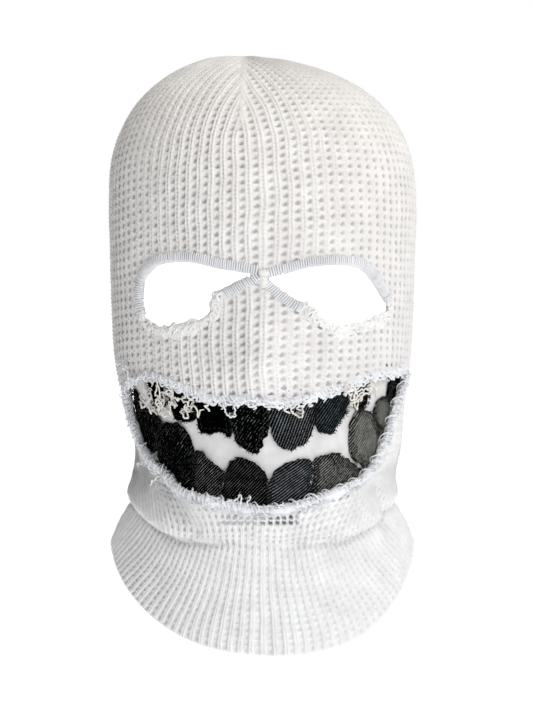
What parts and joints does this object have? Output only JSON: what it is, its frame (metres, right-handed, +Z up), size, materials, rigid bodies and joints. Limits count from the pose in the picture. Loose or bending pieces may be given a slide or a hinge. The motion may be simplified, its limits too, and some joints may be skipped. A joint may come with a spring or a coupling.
{
  "type": "balaclava",
  "caption": "Knitted white balaclava with bound eye holes and a torn mouth opening backed by cotton and ragged denim teeth; it warms the head, face and neck.",
  "frame": {"origin": "where the crown of the wearer's head meets the inside of the hood, on the head's upright axis", "axes": "+Z up along the head, -Y the way the face looks, +X towards the wearer's left"},
  "size_m": [0.1639, 0.21, 0.3079],
  "materials": {
    "white_knit": "matte white acrylic tuck-rib knit, about 80 ribs round, soft and slightly fuzzy",
    "binding_thread": "overlocked edge of fine cool-white polyester thread",
    "loose_yarn": "unravelled crimped cream-white acrylic yarn",
    "black_denim": "black cotton denim twill with raw frayed edges",
    "faded_denim": "black denim worn to a grey-olive centre, dark at its edges",
    "cotton": "plain white cotton twill",
    "black_thread": "black polyester sewing thread",
    "white_thread": "white polyester sewing thread"
  },
  "bodies": {
    "root": {"cheek_yarn": "loose_yarn", "chin_yarn": "loose_yarn", "crown_seam_back": "white_thread", "crown_seam_front": "white_thread", "crown_seam_left": "white_thread", "crown_seam_right": "white_thread", "jaw_yarn": "loose_yarn", "knit_hood": "white_knit", "left_eye_frayed_edge": "white_knit", "left_eye_inner_binding": "binding_thread", "left_eye_upper_binding": "binding_thread", "lower_tooth_1": "black_denim", "lower_tooth_2": "black_denim", "lower_tooth_2_stitching": "black_thread", "lower_tooth_3": "black_denim", "lower_tooth_3_stitching": "black_thread", "lower_tooth_4": "black_denim", "lower_tooth_4_stitching": "black_thread", "lower_tooth_5": "black_denim", "lower_tooth_5_stitching": "black_thread", "lower_tooth_6": "faded_denim", "lower_tooth_6_stitching": "black_thread", "lower_tooth_7": "faded_denim", "lower_tooth_7_stitching": "black_thread", "lower_tooth_8": "faded_denim", "lower_tooth_9": "black_denim", "mouth_backing_panel": "cotton", "mouth_lower_rolled_edge": "white_knit", "mouth_upper_frayed_edge": "white_knit", "mouth_yarn_corner": "loose_yarn", "mouth_yarn_curl": "loose_yarn", "mouth_yarn_hook": "loose_yarn", "mouth_yarn_knot": "loose_yarn", "mouth_yarn_loops": "loose_yarn", "mouth_yarn_vee": "loose_yarn", "nose_bridge_tack": "white_thread", "panel_seam_lower": "white_thread", "panel_seam_upper": "white_thread", "right_eye_frayed_edge": "white_knit", "right_eye_inner_binding": "binding_thread", "right_eye_upper_binding": "binding_thread", "upper_tooth_1": "black_denim", "upper_tooth_2": "black_denim", "upper_tooth_2_stitching": "black_thread", "upper_tooth_3": "black_denim", "upper_tooth_3_stitching": "black_thread", "upper_tooth_4": "black_denim", "upper_tooth_4_stitching": "black_thread", "upper_tooth_5": "black_denim", "upper_tooth_5_stitching": "black_thread", "upper_tooth_6": "black_denim", "upper_tooth_6_stitching": "black_thread", "upper_tooth_7": "black_denim", "upper_tooth_8": "black_denim"}
  },
  "joints": []
}
